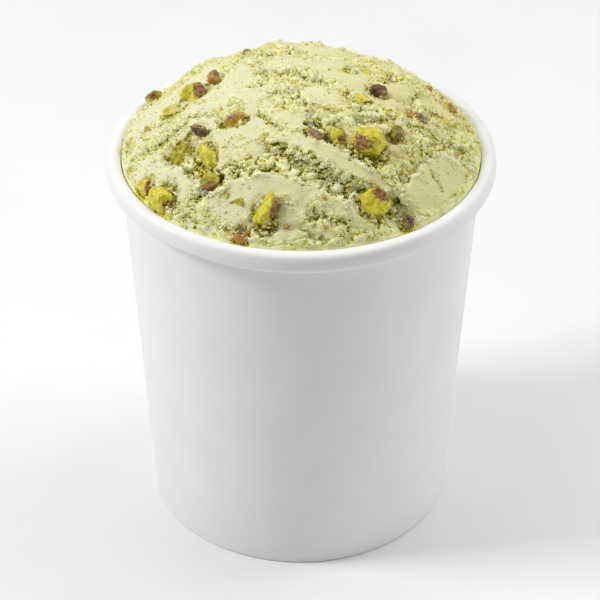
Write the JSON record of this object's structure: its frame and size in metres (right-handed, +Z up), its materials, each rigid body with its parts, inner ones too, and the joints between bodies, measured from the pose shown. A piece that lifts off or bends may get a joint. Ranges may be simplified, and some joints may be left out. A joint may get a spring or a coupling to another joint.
{
  "type": "ice cream pint",
  "caption": "Open round paper tub heaped above its rim with pale pistachio ice cream in torn scoop strokes, with pistachio chunks on top.",
  "frame": {"origin": "centre of the ring that the tub stands on, in the plane of the surface it stands on", "axes": "+Z up along the tub's axis, -Y to the front of the heap, +X to its right as seen from the front"},
  "size_m": [0.097, 0.097, 0.1215],
  "materials": {
    "paper": "smooth coated white paper board, semi-matte",
    "paper_base": "coated white paper board",
    "ice_cream": "pale yellow-green frozen cream, smooth where a scoop passed and crumbly where torn",
    "pistachio": "yellow-green nut with patches of brown and purple skin"
  },
  "bodies": {
    "root": {"cup_wall": "paper", "cup_base": "paper_base", "ice_cream": "ice_cream", "pistachio_01": "pistachio", "pistachio_02": "pistachio", "pistachio_03": "pistachio", "pistachio_04": "pistachio", "pistachio_05": "pistachio", "pistachio_06": "pistachio", "pistachio_07": "pistachio", "pistachio_08": "pistachio", "pistachio_09": "pistachio", "pistachio_10": "pistachio", "pistachio_11": "pistachio", "pistachio_12": "pistachio", "pistachio_13": "pistachio", "pistachio_14": "pistachio", "pistachio_15": "pistachio", "pistachio_16": "pistachio", "pistachio_17": "pistachio", "pistachio_18": "pistachio", "pistachio_19": "pistachio", "pistachio_20": "pistachio", "pistachio_21": "pistachio", "pistachio_22": "pistachio", "pistachio_23": "pistachio", "pistachio_24": "pistachio"}
  },
  "joints": []
}
